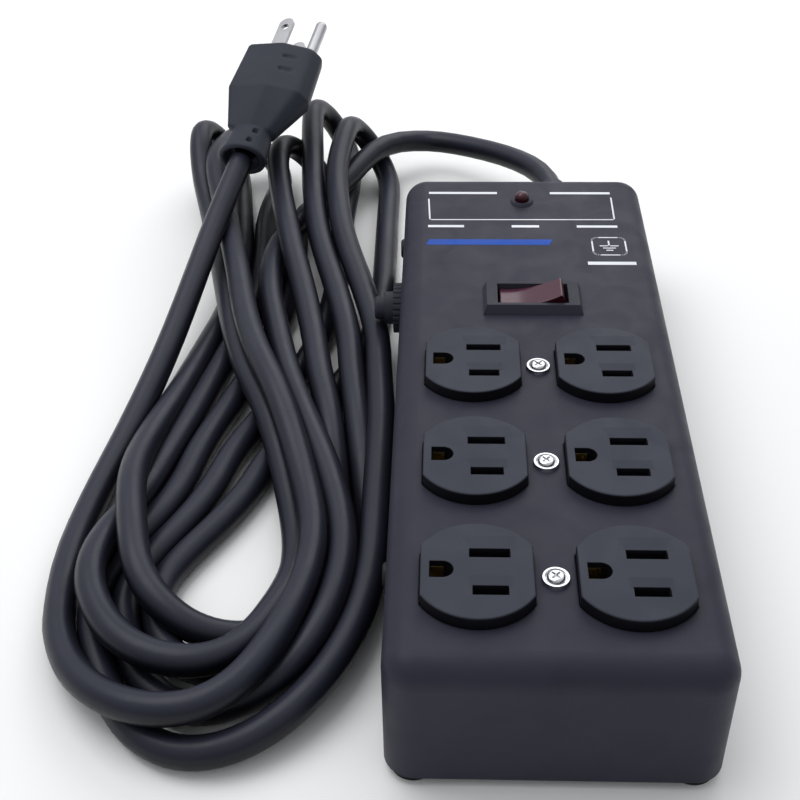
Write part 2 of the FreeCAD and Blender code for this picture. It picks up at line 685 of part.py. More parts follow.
def breaker_body():
    """Breaker case with the bushing that passes through the wall."""
    l, w, h = BREAKER_BODY
    x0 = -CASE_SIDE + WALL + 0.05
    shape = block(x0, x0 + l, BREAKER_Y - w / 2, BREAKER_Y + w / 2, BREAKER_Z - 12, BREAKER_Z - 12 + h)
    shape = shape.makeFillet(1.0, upright(shape))
    bushing = rod((x0 + 1, BREAKER_Y, BREAKER_Z), (-1, 0, 0), BUSHING_R, BUSHING_L + WALL + 1)
    shape = shape.fuse(bushing)
    bore = rod((x0 + 9, BREAKER_Y, BREAKER_Z), (-1, 0, 0), BUTTON_R + BUTTON_GAP, 40)
    return shape.cut(bore)


def breaker_nut():
    """Knurled ring nut on the bushing."""
    shape = rod((-CASE_SIDE, BREAKER_Y, BREAKER_Z), (-1, 0, 0), NUT_R, NUT_T)
    cuts = [rod((-CASE_SIDE + 1, BREAKER_Y, BREAKER_Z), (-1, 0, 0), BUSHING_R + 0.02, 9)]
    for i in range(NUT_TEETH):
        angle = 2 * math.pi * i / NUT_TEETH
        y = BREAKER_Y + (NUT_R + 0.2) * math.cos(angle)
        z = BREAKER_Z + (NUT_R + 0.2) * math.sin(angle)
        cuts.append(rod((-CASE_SIDE + 1, y, z), (-1, 0, 0), 0.55, 9))
    return shape.cut(cuts)


def reset_button():
    """Push button in the breaker's bushing, pushed in as when the breaker is set."""
    inner_x = -CASE_SIDE + 6.0
    outer_x = -CASE_SIDE - BUSHING_L - BUTTON_OUT
    shape = rod((inner_x, BREAKER_Y, BREAKER_Z), (-1, 0, 0), BUTTON_R, inner_x - outer_x)
    rim = [e for e in shape.Edges if len(e.Vertexes) == 1 and abs(e.Vertexes[0].Point.x - outer_x) < 1e-6]
    return shape.makeFillet(1.0, rim)


def breaker_terminals():
    """Two tabs on the back of the breaker."""
    x0 = -CASE_SIDE + WALL + 0.05 + BREAKER_BODY[0]
    tabs = [block(x0, x0 + 8, BREAKER_Y + dy - 0.4, BREAKER_Y + dy + 0.4, 19.5, 25.5) for dy in (-5, 5)]
    return Part.makeCompound(tabs)


def lamp_collar():
    """Snap-in collar round the indicator lamp."""
    flange = Part.makeCone(COLLAR_R, COLLAR_R - 0.6, COLLAR_H, V(LAMP_X, LAMP_Y, CASE_TOP))
    sleeve = rod((LAMP_X, LAMP_Y, CASE_TOP - 5), (0, 0, 1), 3.05, 5.1)
    return flange.fuse(sleeve).cut(rod((LAMP_X, LAMP_Y, 0), (0, 0, 1), LAMP_R + 0.05, 60))


def indicator_lamp():
    """Domed red lamp body."""
    z0 = CASE_TOP - 6
    z1 = CASE_TOP + COLLAR_H + 0.6
    shape = rod((LAMP_X, LAMP_Y, z0), (0, 0, 1), LAMP_R, z1 - z0)
    return shape.fuse(Part.makeSphere(LAMP_R, V(LAMP_X, LAMP_Y, z1)))


def lamp_leads():
    """Two wire leads from the lamp to the board."""
    z0 = BOARD_TOP
    z1 = CASE_TOP - 6
    return Part.makeCompound([plate((0.5, 0.5, z1 - z0), LAMP_X + dx, LAMP_Y, z0) for dx in (-1.27, 1.27)])


def board_holes():
    """Places of the filter board's fixing screws."""
    x0, x1, y0, y1 = BOARD
    return [(x0 + 4, y0 + 4), (x1 - 4, y0 + 4), (x0 + 4, y1 - 4), (x1 - 4, y1 - 4)]


def filter_board():
    """Printed circuit board."""
    shape = block(*BOARD, BOARD_Z, BOARD_TOP)
    return shape.cut([rod((x, y, 0), (0, 0, 1), 1.6, 30) for x, y in board_holes()])


def board_standoffs():
    """Spacers under the board."""
    posts = []
    for x, y in board_holes():
        post = rod((x, y, PLATE_TOP), (0, 0, 1), 2.8, BOARD_Z - PLATE_TOP)
        posts.append(post.cut(rod((x, y, 0), (0, 0, 1), 1.52, 30)))
    return Part.makeCompound(posts)


def board_screws():
    """Screws through the board into the spacers."""
    one = screw(1.5, 5.5, 2.7, 1.6)
    return Part.makeCompound([placed(one, (x, y, BOARD_TOP), (0, 0, 1)) for x, y in board_holes()])


def varistor(index):
    """Round surge varistor standing on the board by its two leads."""
    x = BOARD[0] + 8
    y = BOARD[2] + 8 + 5.6 * index
    z0 = BOARD_TOP
    shape = rod((x, y, z0 + 8.6), (0, 1, 0), 7.2, 4.4)
    rims = [e for e in shape.Edges if len(e.Vertexes) == 1]
    shape = shape.makeFillet(1.2, rims)
    return shape.fuse([plate((0.8, 0.8, 4.0), x + dx, y + 2.2, z0) for dx in (-2.2, 2.2)])


def filter_capacitor():
    """Box film capacitor."""
    shape = plate((15, 7, 13), BOARD[0] + 22, BOARD[3] - 3.6, BOARD_TOP)
    return shape.makeFillet(0.6, upright(shape))


def choke_core():
    """Ferrite ring lying on the board."""
    outer = rod((*CHOKE_AT, CHOKE_Z), (0, 0, 1), CHOKE_R, CHOKE_H)
    return outer.cut(rod((*CHOKE_AT, CHOKE_Z - 1), (0, 0, 1), CHOKE_BORE, CHOKE_H + 2))


def choke_winding():
    """Turns of enamelled wire round the ring, in two halves."""
    wire = 1.0
    slack = 0.06
    loops = []
    for angle in [a for a in range(20, 165, 24)] + [a for a in range(200, 345, 24)]:
        r0, r1 = CHOKE_BORE - slack, CHOKE_R + slack
        z0, z1 = CHOKE_Z - slack, CHOKE_Z + CHOKE_H + slack
        outer = block(r0 - wire, r1 + wire, -wire / 2, wire / 2, z0 - wire, z1 + wire)
        inner = block(r0, r1, -wire, wire, z0, z1)
        loop = outer.cut(inner)
        loop.rotate(V(0, 0, 0), V(0, 0, 1), angle)
        loop.translate(V(*CHOKE_AT, 0))
        loops.append(loop)
    return Part.makeCompound(loops)


def cord_strain_relief():
    """Ribbed tapered sleeve with a flange outside the back wall and a snap ring inside."""
    start = CASE_BACK
    flange = rod((ENTRY_X, start, ENTRY_Z), (0, 1, 0), RELIEF_FLANGE_R, RELIEF_FLANGE_T)
    cone = Part.makeCone(
        RELIEF_R, RELIEF_TIP_R, RELIEF_L, V(ENTRY_X, start + RELIEF_FLANGE_T, ENTRY_Z), V(0, 1, 0)
    )
    neck = rod((ENTRY_X, start - WALL - 3, ENTRY_Z), (0, 1, 0), RELIEF_R, WALL + 3.1)
    ring = rod((ENTRY_X, start - WALL - 3, ENTRY_Z), (0, 1, 0), RELIEF_R + 0.9, 2.9)
    shape = flange.fuse([cone, neck, ring])
    cuts = [rod((ENTRY_X, 90, ENTRY_Z), (0, 1, 0), CORD_D / 2, 90)]
    for i in range(5):
        y = start + RELIEF_FLANGE_T + 4 + 4.2 * i
        outer = rod((ENTRY_X, y, ENTRY_Z), (0, 1, 0), RELIEF_R + 2, 1.5)
        cuts.append(outer.cut(rod((ENTRY_X, y - 1, ENTRY_Z), (0, 1, 0), RELIEF_TIP_R - 0.5, 4)))
    return shape.cut(cuts)


def jacket_tail():
    """End of the lead's jacket, held in the strain relief."""
    return rod((ENTRY_X, TAIL_Y, ENTRY_Z), (0, 1, 0), CORD_D / 2, EXIT_Y - TAIL_Y)


def ground_lug():
    """Ring terminal on the tray's stud."""
    x, y = GROUND_STUD
    shape = rod((x, y, PLATE_TOP), (0, 0, 1), 4.0, 0.9)
    shape = shape.fuse(block(x - 1.6, x + 1.6, y + 3, y + 11, PLATE_TOP, PLATE_TOP + 0.9))
    return shape.cut(rod((x, y, 0), (0, 0, 1), 1.95, 20))


def ground_nut():
    """Hexagon nut on the stud."""
    x, y = GROUND_STUD
    points = [(x + 4.0 * math.cos(math.pi * i / 3), y + 4.0 * math.sin(math.pi * i / 3)) for i in range(6)]
    shape = prism(points, PLATE_TOP + 0.9, PLATE_TOP + 4.1)
    return shape.cut(rod((x, y, 0), (0, 0, 1), 1.92, 20))


def cord_hank():
    """Closed block with the outer shape of the folded lead: a ring at the front, folds at the back."""
    shape = prism(HANK_OUTLINE, 0, HANK_LAYER)
    shape = shape.fuse(prism(HANK_MIDDLE, HANK_LAYER - 0.5, 2 * HANK_LAYER))
    shape = shape.fuse(prism(HANK_TOP, 2 * HANK_LAYER - 0.5, 3.3 * HANK_LAYER))
    return shape.cut(prism(HANK_EYE, -1, 40))


def plug_frame():
    """Plug placement: local +Z along the blades, +X towards the ground pin, which is rolled upwards."""
    axis = V(PLUG_AXIS).normalize()
    level = axis.cross(V(0, 0, 1)).normalize()
    side = level * math.cos(PLUG_ROLL) + level.cross(axis) * math.sin(PLUG_ROLL)
    third = axis.cross(side)
    matrix = FreeCAD.Matrix(
        side.x, third.x, axis.x, PLUG_BASE.x,
        side.y, third.y, axis.y, PLUG_BASE.y,
        side.z, third.z, axis.z, PLUG_BASE.z,
        0, 0, 0, 1,
    )
    return FreeCAD.Placement(matrix)


def in_plug_frame(shape):
    """Move a shape from the plug's own axes to where the plug lies."""
    shape.Placement = plug_frame().multiply(shape.Placement)
    return shape


def plug_body():
    """Faceted plug moulding with a tapered waist and a collar round the lead."""
    def ring(scale, shift, z):
        return [(x * scale + shift, y * scale, z) for x, y in PLUG_SECTION]

    waist = ring(0.56, -1.2, PLUG_COLLAR_L - 1)
    wide = ring(1.0, 0, PLUG_COLLAR_L + PLUG_TAPER_L)
    front = ring(0.94, 0, PLUG_FRONT)
    shape = loft(waist, wide).fuse(loft(wide, front))
    collar = Part.makeCone(8.6, 9.8, PLUG_COLLAR_L, V(0, 0, 0))
    shape = shape.fuse(collar).removeSplitter()
    z0 = PLUG_FRONT - BLADE[0]
    cuts = [plate((BLADE[1], BLADE[2], 40), 0, sy * BLADE_GAP / 2, z0) for sy in (-1, 1)]
    cuts.append(Part.makeCylinder(GROUND_PIN_SHANK_R, 40, V(GROUND_PIN_OFFSET, 0, z0)))
    return in_plug_frame(shape.cut(cuts))


def plug_blade(side):
    """Flat blade with a hole near its rounded tip."""
    length, width, thick = BLADE
    y = side * BLADE_GAP / 2
    z0 = PLUG_FRONT - length
    shape = plate((width, thick, 2 * length - width / 2), 0, y, z0)
    tip_z = PLUG_FRONT + length - width / 2
    shape = shape.fuse(rod((0, y - thick / 2, tip_z), (0, 1, 0), width / 2, thick))
    return in_plug_frame(shape.cut(rod((0, y - 5, PLUG_FRONT + 12.5), (0, 1, 0), 1.6, 10)))


def plug_ground_pin():
    """Round ground pin with a domed tip, on a thinner shank inside the moulding."""
    z0 = PLUG_FRONT - BLADE[0]
    z1 = PLUG_FRONT + GROUND_PIN_SHOULDER
    tip = PLUG_FRONT + GROUND_PIN_L - GROUND_PIN_R
    shank = Part.makeCylinder(GROUND_PIN_SHANK_R, z1 - z0 + 0.1, V(GROUND_PIN_OFFSET, 0, z0))
    shape = Part.makeCylinder(GROUND_PIN_R, tip - z1, V(GROUND_PIN_OFFSET, 0, z1))
    dome = Part.makeSphere(GROUND_PIN_R, V(GROUND_PIN_OFFSET, 0, tip))
    return in_plug_frame(shape.fuse([shank, dome]))


def write_case():
    """Cover, tray, feet and fasteners."""
    save("top_cover", top_cover())
    save("base_plate", base_plate())
    names = ("front_left", "back_left", "front_right", "back_right")
    for name, (x, y) in zip(names, foot_places()):
        save("foot_" + name, rubber_foot(x, y))
    save("foot_screws", foot_screws())
    save("side_screws", side_screws())


def write_receptacles():
    """Three duplex receptacles and their screws."""
    for index, name in enumerate(ROWS):
        y = row_y(index)
        save("receptacle_face_" + name, receptacle_face(y))
        save("receptacle_body_" + name, receptacle_body(y))
        save("line_contact_" + name, power_contact(y, -1))
        save("neutral_contact_" + name, power_contact(y, 1))
        save("ground_strap_" + name, ground_strap(y))
    save("receptacle_rivets", receptacle_rivets())
    save("receptacle_screws", receptacle_screws())


def write_controls():
    """Switch, breaker and indicator lamp."""
    save("switch_housing", switch_housing())
    save("switch_rocker", switch_rocker().cut(switch_plunger()))
    save("switch_plunger", switch_plunger())
    save("switch_lever", switch_lever())
    save("switch_terminals", switch_terminals())
    save("switch_lamp", switch_lamp())
    save("breaker_body", breaker_body())
    save("breaker_nut", breaker_nut())
    save("reset_button", reset_button())
    save("breaker_terminals", breaker_terminals())
    save("lamp_collar", lamp_collar())
    save("indicator_lamp", indicator_lamp())
    save("lamp_leads", lamp_leads())


def write_electronics():
    """Filter board with its parts, and the wires inside the case."""
    save("filter_board", filter_board())
    save("board_standoffs", board_standoffs())
    save("board_screws", board_screws())
    save("varistors", Part.makeCompound([varistor(index) for index in range(3)]))
    save("filter_capacitor", filter_capacitor())
    save("choke_core", choke_core())
    save("choke_winding", choke_winding())
    save("ground_lug", ground_lug())
    save("ground_nut", ground_nut())
    for name, routes in WIRE_ROUTES.items():
        save(name, Part.makeCompound([tube(name, route, WIRE_R) for route in routes]))


def write_lead():
    """Strain relief, lead and plug."""
    save("cord_strain_relief", cord_strain_relief())
    save("jacket_tail", jacket_tail())
    save("cord_arch", tube("cord_arch", ARCH_ROUTE, CORD_D / 2))
    save("cord_hank", cord_hank())
    save("cord_plug_run", tube("cord_plug_run", PLUG_ROUTE, CORD_D / 2))
    save("plug_body", plug_body())
    save("plug_line_blade", plug_blade(-1))
    save("plug_neutral_blade", plug_blade(1))
    save("plug_ground_pin", plug_ground_pin())


os.makedirs("parts", exist_ok=True)
write_case()
write_receptacles()
write_controls()
write_electronics()
write_lead()
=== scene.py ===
"""Looks of the six-outlet metal surge protector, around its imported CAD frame. Metres, +Z up."""
import json
import math

import bmesh
import bpy
import numpy as np
from mathutils import Matrix, Vector


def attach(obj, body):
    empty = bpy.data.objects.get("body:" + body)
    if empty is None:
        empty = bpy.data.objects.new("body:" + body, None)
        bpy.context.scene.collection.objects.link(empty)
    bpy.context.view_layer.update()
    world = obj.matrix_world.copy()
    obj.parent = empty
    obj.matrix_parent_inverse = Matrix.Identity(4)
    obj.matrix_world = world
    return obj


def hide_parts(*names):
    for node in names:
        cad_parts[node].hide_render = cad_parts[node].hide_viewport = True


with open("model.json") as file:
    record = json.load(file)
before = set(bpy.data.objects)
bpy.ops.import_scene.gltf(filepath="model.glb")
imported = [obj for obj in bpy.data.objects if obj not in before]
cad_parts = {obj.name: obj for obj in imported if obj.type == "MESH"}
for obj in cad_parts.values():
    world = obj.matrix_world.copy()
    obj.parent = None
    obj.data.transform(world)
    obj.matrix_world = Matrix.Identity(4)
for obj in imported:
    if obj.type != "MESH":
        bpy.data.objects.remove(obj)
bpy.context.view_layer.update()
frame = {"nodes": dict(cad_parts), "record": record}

NODES = frame["nodes"]
MM = 0.001

# Camera, in millimetres and degrees
CAMERA_AT = (-27.66, -319.69, 280.28)
CAMERA_PITCH = 38.085
CAMERA_YAW = -2.464
CAMERA_ROLL = -1.089
CAMERA_LENS = 59.8
SENSOR = 36.0

# Surroundings; lights have a place and a width in metres, and their power in watts
SKY_COLOUR = (0.97, 0.985, 1.0)
SKY_LEAN = (0.0, 0.45, 0.89)
SKY_SPAN = (-0.3, 1.0)
SKY_LOW = 0.25
SKY_HIGH = 0.80
FLOOR_HALF = 6.0
FLOOR_SHADE = 0.96
FLOOR_ROUGHNESS = 0.9
LIGHTS = [
    ("key_light", (-0.45, 0.25, 1.1), 0.9, 6.0),
    ("back_light", (0.30, 1.0, 0.8), 0.9, 4.0),
]
LIGHT_AIM = (-0.03, 0.05, 0.02)

# Lead, in millimetres
CORD_D = 9.0
CORD_R = CORD_D / 2
EXIT_Y = 147.25
ARCH_ROUTE = [
    (14.0, EXIT_Y, 20.0),
    (12.5, 160.0, 20.0),
    (0.0, 178.0, 18.5),
    (-21.0, 196.0, 15.0),
    (-39.0, 204.5, 13.0),
    (-57.0, 190.0, 18.0),
    (-70.0, 160.0, 15.5),
]
PLUG_ROUTE = [
    (-138.0, -46.0, 4.7),
    (-135.5, -18.0, 4.8),
    (-129.0, 15.0, 8.0),
    (-122.5, 50.0, 14.0),
    (-117.5, 84.0, 21.5),
    (-113.16, 114.33, 28.5),
    (-107.0, 140.0, 37.0),
]

# Rows that the strands cross, from the folds at the back to the ring at the front.
# Each has its Y, then the X of its first and last lane, and for the upper rows their heights.
UPPER_ROWS = [
    (160.0, -126.0, -71.0, 21.0, 27.0),
    (138.0, -119.5, -70.0, 15.0, 25.0),
    (112.0, -113.0, -66.0, 13.7, 20.0),
    (86.0, -106.5, -58.0, 13.7, 16.0),
    (59.0, -100.5, -51.5, 13.7, 13.7),
    (36.0, -93.0, -50.5, 13.7, 13.7),
    (14.0, -83.0, -49.0, 13.7, 13.7),
]
LOWER_ROWS = [
    (-20.0, -123.0, -90.0),
    (5.0, -121.0, -83.0),
    (30.0, -117.0, -67.5),
    (58.0, -112.0, -55.0),
    (90.0, -106.0, -50.5),
    (122.0, -106.0, -50.5),
    (150.0, -110.0, -50.5),
]
LOWER_Z = 4.6
LEVEL_ROWS = 3
RING_CENTRE = (-92.0, -46.0)
RING_ANGLES = (0, -25, -50, -75, -100, -125, -150, -172)

# Turns in winding order. lane: place across the upper rows. lift: how far it lies above the others there.
# right, bottom, left: half widths of the turn in the ring. heights: those of its centre at these three.
# back: place across the lower rows.
TURNS = [
    {
        "lane": 1.5, "lift": 0.0, "right": 37.0, "bottom": 55.0, "left": 28.0,
        "heights": (13.0, 4.6, 4.6), "back": 3.0,
    },
    {
        "lane": 4.0, "lift": 0.0, "right": 43.0, "bottom": 41.0, "left": 19.0,
        "heights": (4.6, 4.6, 4.6), "back": 4.0,
    },
    {
        "lane": 5.0, "lift": 0.0, "right": 44.3, "bottom": 70.0, "left": 37.5,
        "heights": (12.0, 4.6, 4.6), "back": 2.0,
    },
    {
        "lane": 2.7, "lift": 0.0, "right": 34.0, "bottom": 30.0, "left": 25.0,
        "heights": (4.6, 5.5, 14.0), "back": 0.0,
    },
    {
        "lane": 0.0, "lift": 0.0, "right": 25.0, "bottom": 47.0, "left": 35.0,
        "heights": (4.6, 13.0, 13.0), "back": 1.0,
    },
    {
        "lane": 0.3, "lift": 7.5, "right": 29.5, "bottom": 63.0, "left": 47.0,
        "heights": (14.0, 14.0, 4.7), "back": None,
    },
]
# Fold after each turn: where it leaves the floor and where its upper end points back to the front
FOLDS = [
    ((-69.0, 193.0, 6.0), (-85.0, 196.0, 32.0)),
    ((-50.0, 177.0, 5.0), (-68.0, 182.0, 30.5)),
    ((-76.0, 168.0, 5.0), (-96.0, 168.0, 27.0)),
    ((-114.0, 178.0, 5.0), (-129.0, 180.0, 30.0)),
    ((-98.0, 181.0, 5.0), (-120.0, 183.0, 24.0)),
]
# Where the first turn leaves the arch, under the folds
FIRST_BEND = [(-84.0, 140.0, 13.7), (-93.0, 118.0, 13.7)]
FOLD_STEP = 30
LANES = 5.0
BACK_LANES = 4.0
CROWDING = 1.45
# Where a turn comes into the ring: how far behind its centre, and how much of the way out
SHOULDER_Y = 30.0
SHOULDER = 0.6

# Settling of the turns on each other
POINT_STEP = 8.0
SPLINE_STEPS = 16
MEASURE_STEP = 2.0
NEIGHBOURS = 3
CLEARANCE = 1.01
PUSH = 0.6
LOOSE_AFTER = 4
SETTLE_ROUNDS = 260
LAST_ROUNDS = 20
SINK = 0.02
HOLD = 0.992
SMOOTHINGS = 4
JOIN = 2
FLOOR_GAP = 0.05
WALL_X = -47.7
WALL_END_Y = 128.0
BUTTON_AT = (60.5, 22.5)
BUTTON_REACH = -52.2
BUTTON_R = 4.2

# Plug, in millimetres along its own axis from the end that the lead comes to
PLUG_BASE = (-107.0, 140.0, 37.0)
PLUG_AXIS = (0.220, 0.9166, 0.3338)
PLUG_ROLL = 12.5
PLUG_SECTION = [
    (-12.0, -11.0), (4.5, -10.5), (17.0, -5.5), (19.5, 0.0), (17.0, 5.5), (4.5, 10.5), (-12.0, 11.0),
]
PLUG_SEGMENTS = 144
PLUG_STEP = 0.6
PLUG_WIDE_AT = 30.5
PLUG_FRONT = 55.0
COLLAR_L = 13.0
COLLAR_HALF = (9.8, 8.4)
COLLAR_BORE = (7.3, 6.2)
COLLAR_DEPTH = 5.0
CORD_FIT = 0.98
# Rings of the skin: place along the axis and scale of the bore, the collar's lip and the plug's nose
BORE_RINGS = ((COLLAR_DEPTH, 0.94), (0.8, 1.0), (0.1, 1.06))
LIP_RINGS = ((0.0, 0.93), (0.5, 0.985))
NOSE_RINGS = ((PLUG_FRONT - 0.6, 0.935), (PLUG_FRONT - 0.15, 0.92), (PLUG_FRONT, 0.89))
COLLAR_FROM = 1.2
COLLAR_STOP = 0.8
COLLAR_SHRINK = 0.86
COLLAR_LAST = (COLLAR_L - 0.7, 0.83)
BODY_STOP = 1.0
WAIST = 0.56
WAIST_SHIFT = -1.2
NOSE_SHRINK = 0.06
# Dents in the skin: their places across and along, their half size and depth
MARKS = (((9.2, 47.6), (9.4, 40.6)), (2.9, 0.95), 0.7)
PIN_HOLES = (((5.0, 4.0), (5.6, 9.6)), (0.95, 0.95), 1.5)

# Materials: noise scales in features per metre; distances in millimetres within which near neighbours paint
# shade into the colour
BLOTCHES = 38.0
PATCHES = 95.0
GRAIN_TINT = 0.35
GRAIN_GLOSS = 0.35
# Painted shade: the lead's colour darkens to near black where other strands are close, found by ambient
# occlusion
PAINTED_SHADE_REACH = {"cord_vinyl": 34.0}
PAINTED_SHADE_SPAN = (0.12, 0.72)
PAINTED_SHADE_LEFT = 0.1
PAINTED_SHADE_COLOUR = (0.004, 0.004, 0.007)
# Painted shade: slopes over which steep sides take another colour standing in for shade; the switch's
# lighter one is painted light
PAINTED_SIDE_SHADING_SPAN = (0.35, 0.85)
LENS_PAINTED_SIDE_SHADING_SPAN = (0.35, 0.9)
CORD_PAINTED_SIDE_SHADING_SPAN = (0.05, 0.95)

# Print on the cover, in millimetres
COVER_TOP = 42.7
INK_T = 0.03
INK_LINE = 0.55
BRACKET = [(-34.0, 100.1), (-33.4, 85.7), (30.9, 86.0), (31.1, 101.2)]
WORD_BARS = [
    (-34.0, -9.5, 104.6), (9.5, 31.0, 104.6),
    (-34.0, -21.5, 81.3), (-5.0, 4.5, 81.3), (17.5, 31.5, 81.3),
]
WORD_H = 1.5
BLUE_BAR = (-34.0, 8.0, 70.8, 3.6)
BLUE_SLANT = 0.6
SIGN_AT = (27.5, 68.4)
SIGN_HALF = 5.6
SIGN_ROUNDING = 0.35
SIGN_STEPS = 4
SIGN_STEM = (3.2, 0.2)
SIGN_STROKES = ((0.2, 2.9), (-1.2, 1.9), (-2.6, 0.9))
SIGN_BAR = (19.5, 35.5, 57.6, 1.9)


def mix(a, b, t):
    """Value between a and b."""
    return a + (b - a) * t


def upper_limb(turn, with_fold):
    """Points of a turn's upper stretch, from the fold down to the ring."""
    rows = UPPER_ROWS if with_fold else UPPER_ROWS[3:]
    across = turn["lane"] / LANES
    points = [] if with_fold else list(FIRST_BEND)
    for y, first, last, first_z, last_z in rows:
        points.append((mix(first, last, across), y, mix(first_z, last_z, across) + turn["lift"]))
    return points


def ring_pass(turn):
    """Points of a turn's way round the front, from the right side to the left."""
    cx, cy = RING_CENTRE
    right_z, bottom_z, left_z = turn["heights"]
    _, first, last, row_z, _ = UPPER_ROWS[-1]
    from_x = mix(first, last, turn["lane"] / LANES)
    shoulder_x = mix(from_x, cx + turn["right"], SHOULDER)
    points = [(shoulder_x, cy + SHOULDER_Y, mix(row_z, right_z, SHOULDER))]
    for degrees in RING_ANGLES:
        c = math.cos(math.radians(degrees))
        s = math.sin(math.radians(degrees))
        half = turn["right"] if c > 0 else turn["left"]
        end_z = right_z if c > 0 else left_z
        points.append((cx + half * c, cy + turn["bottom"] * s, mix(bottom_z, end_z, abs(c))))
    return points


def lower_limb(turn):
    """Points of a turn's way back under the upper stretches."""
    points = []
    for index, (y, first, last) in enumerate(LOWER_ROWS):
        z = mix(turn["heights"][2], LOWER_Z, min(1.0, (index + 1) / LEVEL_ROWS))
        points.append((mix(first, last, (turn["back"] / BACK_LANES) ** CROWDING), y, z))
    return points


def fold(low, high):
    """Half circle at the back from a floor-level point to the upper one above it."""
    low, high = np.array(low), np.array(high)
    centre, half = (low + high) / 2, (high - low) / 2
    radius = float(np.linalg.norm(half))
    points = []
    for degrees in range(0, 181, FOLD_STEP):
        a = math.radians(degrees)
        points.append(tuple(centre - half * math.cos(a) + np.array((0.0, radius * math.sin(a), 0.0))))
    return points


def hank_guide():
    """The folded turns before they settle, worked out turn by turn."""
    points = []
    for index, turn in enumerate(TURNS):
        points += upper_limb(turn, index > 0)
        points += ring_pass(turn)
        if turn["back"] is not None:
            points += lower_limb(turn)
            points += fold(*FOLDS[index])
    return points


def along(control, step):
    """Points at even steps on the quadratic spline of these control points."""
    p = np.array(control, float)
    dense = [p[0]]
    for i in range(1, len(p) - 1):
        start = p[0] if i == 1 else (p[i - 1] + p[i]) / 2
        end = p[-1] if i == len(p) - 2 else (p[i] + p[i + 1]) / 2
        for t in np.linspace(0, 1, SPLINE_STEPS + 1)[1:]:
            dense.append((1 - t) ** 2 * start + 2 * t * (1 - t) * p[i] + t * t * end)
    dense = np.array(dense)
    run = np.concatenate([[0], np.cumsum(np.linalg.norm(np.diff(dense, axis=0), axis=1))])
    marks = np.linspace(0, run[-1], max(2, int(round(run[-1] / step)) + 1))
    return np.column_stack([np.interp(marks, run, dense[:, k]) for k in range(3)])


def push_apart(p, free):
    """Moves that part points nearer than a cord's width, other than those next along the cord."""
    gap = p[:, None, :] - p[None, :, :]
    dist = np.sqrt((gap**2).sum(-1)) + 1e-9
    index = np.arange(len(p))
    far = np.abs(index[:, None] - index[None, :]) > NEIGHBOURS
    short = np.where(far, np.clip(CORD_D * CLEARANCE - dist, 0, None), 0)
    share = free[:, None] / np.maximum(free[:, None] + free[None, :], 1e-9)
    return ((gap / dist[..., None]) * (short * share)[..., None]).sum(1) * PUSH


def keep_out(p):
    """Holds the points above the floor, left of the case's wall and under the reset button."""
    p[:, 2] = np.maximum(p[:, 2], CORD_R + FLOOR_GAP)
    beside = (p[:, 1] < WALL_END_Y) & (p[:, 0] > WALL_X) & (p[:, 0] < 0)
    p[beside, 0] = WALL_X
    away = p[:, 1:] - np.array(BUTTON_AT)
    dist = np.linalg.norm(away, axis=1) + 1e-9
    near = (p[:, 0] > BUTTON_REACH - CORD_R) & (dist < BUTTON_R + CORD_R)
    p[near, 2] = np.minimum(p[near, 2], BUTTON_AT[1] - BUTTON_R - CORD_R)
    return p


def settle(guide, before, after):
    """Lets the turns push each other apart and sink a little, away from the arch and the plug's run, which
    stay still. Some stretches stay clear of those below.
    """
    start = len(before)
    p = np.concatenate([before, guide, after])
    rest = p.copy()
    free = np.zeros(len(p))
    ends = np.minimum(np.arange(len(guide)), np.arange(len(guide))[::-1])
    free[start:start + len(guide)] = np.clip(ends / LOOSE_AFTER, 0, 1)
    for round_number in range(SETTLE_ROUNDS):
        p += push_apart(p, free) * free[:, None]
        p[:, 2] -= SINK * free
        shift = p - rest
        for _ in range(SMOOTHINGS if round_number < SETTLE_ROUNDS - LAST_ROUNDS else 1):
            shift[1:-1] = 0.25 * shift[:-2] + 0.5 * shift[1:-1] + 0.25 * shift[2:]
            shift[free == 0] = 0
        p = rest + shift * HOLD
        p = np.where(free[:, None] > 0, keep_out(p.copy()), rest)
    return p[start:start + len(guide)]


def nurbs_cord(name, points, radius):
    """Round cord on one smooth open spline."""
    data = bpy.data.curves.new(name, "CURVE")
    data.dimensions = "3D"
    spline = data.splines.new("NURBS")
    spline.points.add(len(points) - 1)
    for point, at in zip(spline.points, points):
        point.co = (*(float(v) * MM for v in at), 1.0)
        point.radius = radius * MM
    spline.order_u = 3
    spline.use_endpoint_u = True
    spline.resolution_u = 3
    data.bevel_depth = 1.0
    data.bevel_resolution = 5
    data.use_fill_caps = True
    piece = bpy.data.objects.new(name, data)
    bpy.context.scene.collection.objects.link(piece)
    return piece


def lead():
    """The whole lead, from the strain relief to the plug."""
    guide = along(hank_guide(), POINT_STEP)
    turns = settle(guide, along(ARCH_ROUTE, POINT_STEP), along(PLUG_ROUTE, POINT_STEP))
    points = ARCH_ROUTE + [tuple(p) for p in turns[JOIN:-JOIN]] + PLUG_ROUTE
    run = along(points, MEASURE_STEP)
    piece = nurbs_cord("mains_lead", points, CORD_R)
    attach(piece, "case")
    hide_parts("cord_arch", "cord_hank", "cord_plug_run")
    return piece


def camera():
    """Camera at the viewing angle of the reference."""
    pitch, yaw, roll = (math.radians(a) for a in (CAMERA_PITCH, CAMERA_YAW, CAMERA_ROLL))
    ahead = Vector((math.sin(yaw) * math.cos(pitch), math.cos(yaw) * math.cos(pitch), -math.sin(pitch)))
    right = Vector((math.cos(yaw), -math.sin(yaw), 0.0))
    up = right.cross(ahead)
    right2 = right * math.cos(roll) + up * math.sin(roll)
    up2 = up * math.cos(roll) - right * math.sin(roll)
    data = bpy.data.cameras.new("camera")
    data.lens = CAMERA_LENS
    data.sensor_width = SENSOR
    item = bpy.data.objects.new("camera", data)
    bpy.context.scene.collection.objects.link(item)
    turn = Matrix((right2, up2, -ahead)).transposed()
    item.matrix_world = Matrix.Translation(Vector(CAMERA_AT) * MM) @ turn.to_4x4()
    bpy.context.scene.camera = item


